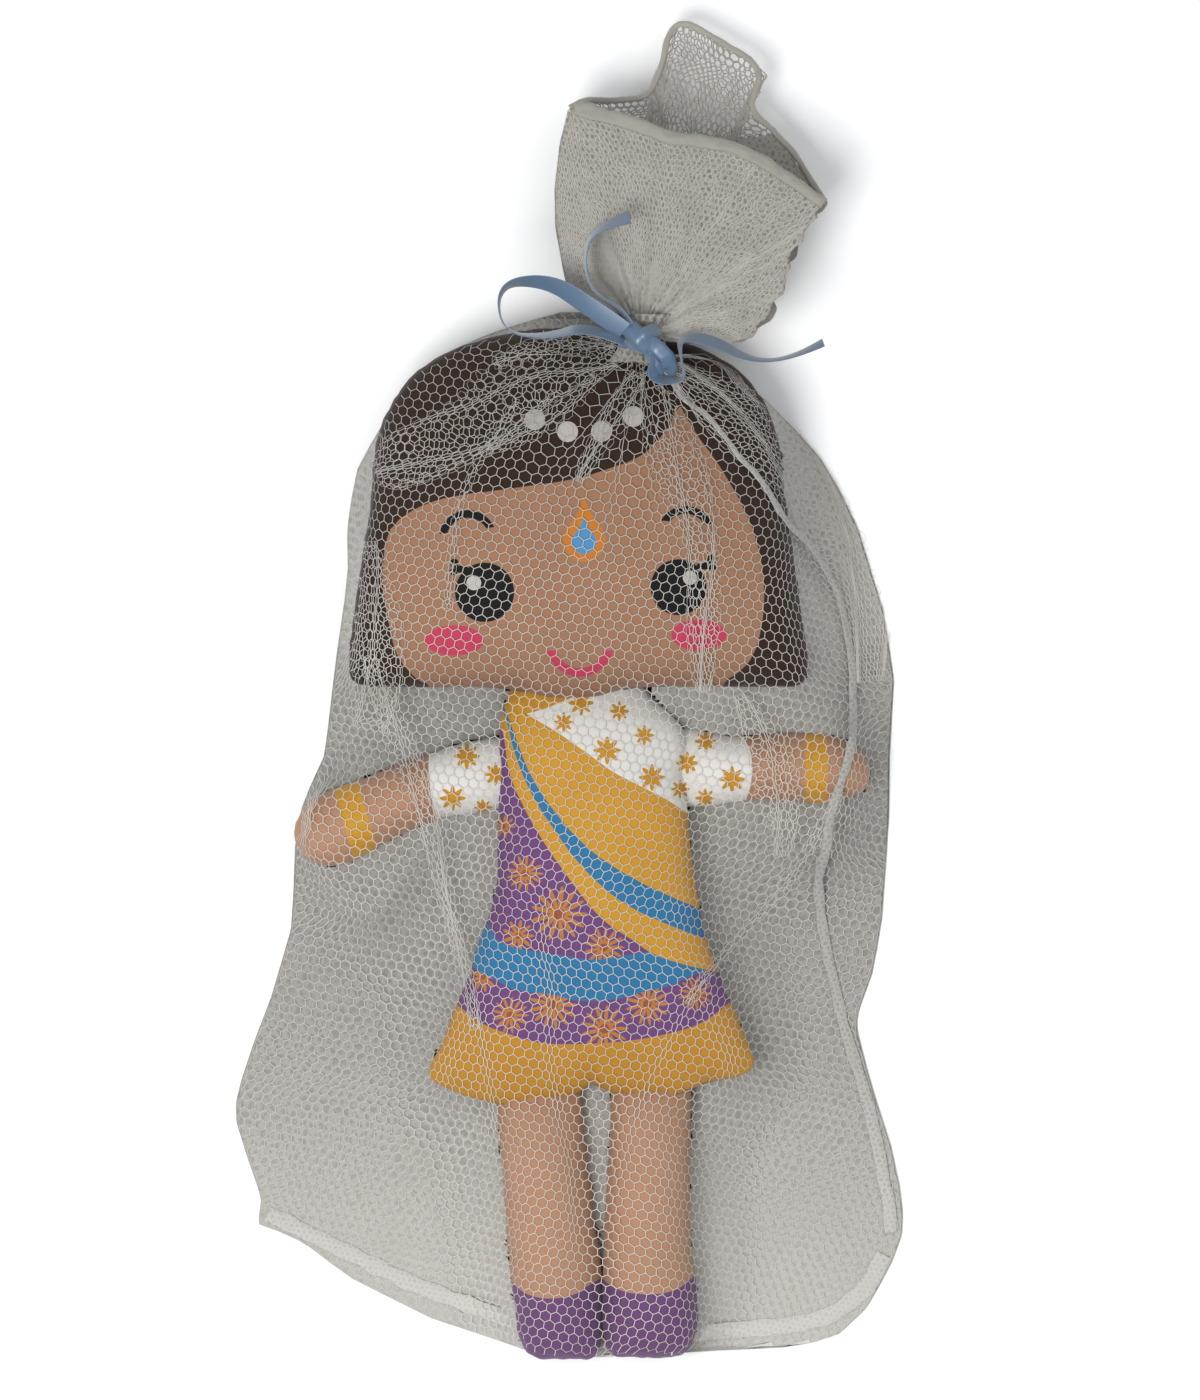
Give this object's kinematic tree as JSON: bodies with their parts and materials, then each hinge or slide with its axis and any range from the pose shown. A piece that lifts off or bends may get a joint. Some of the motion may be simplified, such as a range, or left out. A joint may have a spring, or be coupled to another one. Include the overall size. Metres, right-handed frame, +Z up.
{
  "type": "stuffed rag doll in a net gift bag",
  "caption": "Soft printed cloth doll in sari dress, lying on its back in a see-through net bag drawn together over its head with a satin ribbon bow.",
  "frame": {"origin": "on the table under the middle of the bag, with the doll lying on its back", "axes": "+Z up from the table through the doll's front, +Y from feet to head, +X to the viewer's right looking down at the face"},
  "size_m": [0.202, 0.4037, 0.0506],
  "materials": {
    "head_print": "matte",
    "hair_cloth": "matte",
    "sari_print": "matte",
    "skin_cloth": "matte",
    "filling": "matte",
    "net": "matte",
    "ribbon": "satin"
  },
  "bodies": {
    "torso": {"torso_front": "sari_print", "torso_back": "sari_print", "torso_seam": "sari_print", "torso_filling": "filling", "net_back": "net", "net_front": "net", "side_seam": "net", "bottom_seam": "net"},
    "head": {"head_front": "head_print", "head_back": "hair_cloth", "head_seam": "hair_cloth", "head_filling": "filling"},
    "left_arm": {"left_arm_front": "skin_cloth", "left_arm_back": "skin_cloth", "left_arm_seam": "skin_cloth", "left_arm_filling": "filling"},
    "right_arm": {"right_arm_front": "skin_cloth", "right_arm_back": "skin_cloth", "right_arm_seam": "skin_cloth", "right_arm_filling": "filling"},
    "left_leg": {"left_leg_front": "skin_cloth", "left_leg_back": "skin_cloth", "left_leg_seam": "skin_cloth", "left_leg_filling": "filling"},
    "right_leg": {"right_leg_front": "skin_cloth", "right_leg_back": "skin_cloth", "right_leg_seam": "skin_cloth", "right_leg_filling": "filling"},
    "tie": {"net_bunch": "net", "ribbon_band": "ribbon", "ribbon_knot": "ribbon", "ribbon_left_loop": "ribbon", "ribbon_left_tail": "ribbon", "ribbon_right": "ribbon", "mouth_front": "net", "mouth_front_hem": "net", "mouth_rear": "net", "mouth_rear_hem": "net"}
  },
  "joints": [
    {"name": "neck", "type": "hinge", "parent": "torso", "child": "head", "pos_m": [0.0028, -0.003, 0.0225], "axis": [1, 0, 0], "range_deg": [0, 22], "deforming": ["net_front", "side_seam"]},
    {"name": "left_shoulder", "type": "hinge", "parent": "torso", "child": "left_arm", "pos_m": [-0.0225, -0.0254, 0.013], "axis": [0, 0, 1], "range_deg": [-4, 24]},
    {"name": "right_shoulder", "type": "hinge", "parent": "torso", "child": "right_arm", "pos_m": [0.0372, -0.0245, 0.013], "axis": [0, 0, 1], "range_deg": [-26, 8]},
    {"name": "left_hip", "type": "hinge", "parent": "torso", "child": "left_leg", "pos_m": [-0.009, -0.1205, 0.0155], "axis": [-1, 0, 0], "range_deg": [0, 28]},
    {"name": "right_hip", "type": "hinge", "parent": "torso", "child": "right_leg", "pos_m": [0.0246, -0.1205, 0.0155], "axis": [-1, 0, 0], "range_deg": [0, 28]},
    {"name": "tie_bend", "type": "hinge", "parent": "head", "child": "tie", "pos_m": [0.0212, 0.097, 0.037], "axis": [1, 0, 0], "range_deg": [0, 40]}
  ],
  "couplings": [
    {"joint": "right_hip", "follows": "left_hip", "ratio": 1}
  ]
}
